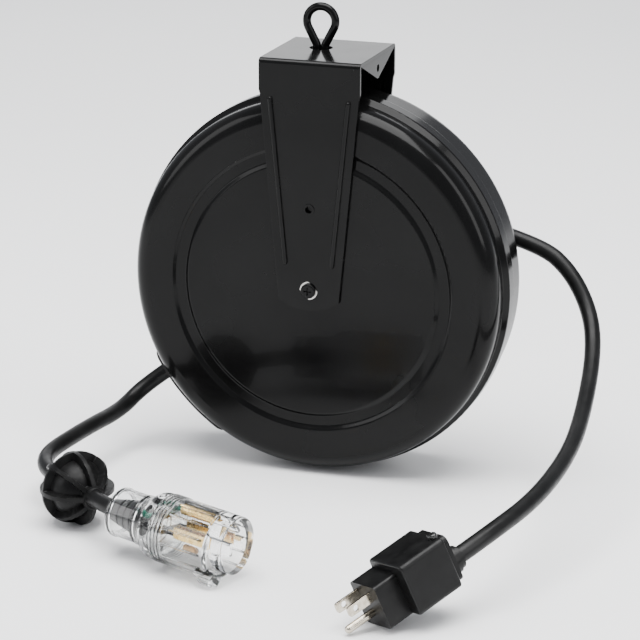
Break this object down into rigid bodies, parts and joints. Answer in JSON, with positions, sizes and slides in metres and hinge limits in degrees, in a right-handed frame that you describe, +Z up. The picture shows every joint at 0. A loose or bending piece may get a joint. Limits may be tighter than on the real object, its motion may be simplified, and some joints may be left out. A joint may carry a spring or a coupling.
{
  "type": "retractable extension cord reel",
  "caption": "Round steel drum reel on a swivelling hanging bracket, with a spring-wound cord ending in a clear lighted socket, a ball stop and a grounded supply plug.",
  "frame": {"origin": "under the middle of the drum, level with the lowest point of its rim", "axes": "+X to the right of the front face, +Y along the axle from the front cover to the rear cover, +Z up towards the hook"},
  "size_m": [0.3514, 0.3415, 0.3092],
  "materials": {
    "black_paint": "gloss",
    "bracket_paint": "gloss",
    "zinc_steel": "zinc plated",
    "spring_steel": "oiled",
    "nylon": "satin",
    "black_plastic": "satin",
    "black_vinyl": "satin",
    "clear_plastic": "clear",
    "brass": "satin",
    "nickel": "satin",
    "copper_ring": "satin",
    "carbon": "matte",
    "green_core": "satin",
    "black_core": "satin",
    "white_core": "satin",
    "amber_lens": "gloss"
  },
  "bodies": {
    "drum": {"front_cover": "black_paint", "rear_cover": "black_paint", "cover_posts": "zinc_steel", "cover_screws": "zinc_steel", "cord_guide": "black_plastic", "front_bushing": "nylon", "rear_bushing": "nylon", "inner_lead": "black_vinyl", "supply_gland": "black_plastic", "live_core": "black_core", "earth_core": "green_core", "neutral_core": "white_core", "brush_holder": "black_plastic", "brushes": "carbon", "brush_springs": "spring_steel", "pawl_pin": "zinc_steel", "pawl_spring": "spring_steel", "supply_cord": "black_vinyl", "outlet_cord": "black_vinyl", "plug_body": "black_vinyl", "plug_sleeve": "black_vinyl", "plug_lamp": "amber_lens", "plug_blades": "nickel", "plug_ground_pin": "nickel", "ball_stop_upper": "black_plastic", "ball_stop_lower": "black_plastic", "ball_stop_screws": "zinc_steel", "connector_body": "clear_plastic", "connector_strain_relief": "black_vinyl", "connector_live_core": "black_core", "connector_neutral_core": "black_core", "connector_earth_core": "green_core", "connector_contacts": "brass", "connector_earth_contact": "brass", "connector_lamp": "amber_lens"},
    "bracket": {"bracket": "bracket_paint", "arm_eyelets": "zinc_steel", "axle": "zinc_steel", "axle_screws": "zinc_steel", "spring_arbor": "zinc_steel"},
    "hook": {"hook": "bracket_paint"},
    "spool": {"spool_hub": "zinc_steel", "front_flange": "zinc_steel", "rear_flange": "zinc_steel", "spool_bushings": "nylon", "wound_cord": "black_vinyl", "spring_can": "zinc_steel", "can_rivets": "zinc_steel", "mainspring": "spring_steel", "slip_ring_carrier": "black_plastic", "slip_rings": "copper_ring", "ratchet_wheel": "zinc_steel"},
    "pawl": {"pawl": "zinc_steel"}
  },
  "joints": [
    {"name": "bracket_swing", "type": "hinge", "parent": "drum", "child": "bracket", "pos_m": [0, 0, 0.128], "axis": [0, 1, 0], "range_deg": [-90, 22]},
    {"name": "hook_swivel", "type": "hinge", "parent": "bracket", "child": "hook", "pos_m": [-0.0066, 0.006, 0.28], "axis": [0, 0, 1], "continuous": true},
    {"name": "spool_spin", "type": "hinge", "parent": "drum", "child": "spool", "pos_m": [0, 0, 0.128], "axis": [0, 1, 0], "range_deg": [-6120, 0], "deforming": ["mainspring"]},
    {"name": "pawl_swing", "type": "hinge", "parent": "drum", "child": "pawl", "pos_m": [0.022, 0, 0.058], "axis": [0, 1, 0], "range_deg": [0, 12], "stiffness_Nm_per_rad": 0.02, "springref_deg": -11.46, "deforming": ["pawl_spring"]}
  ]
}
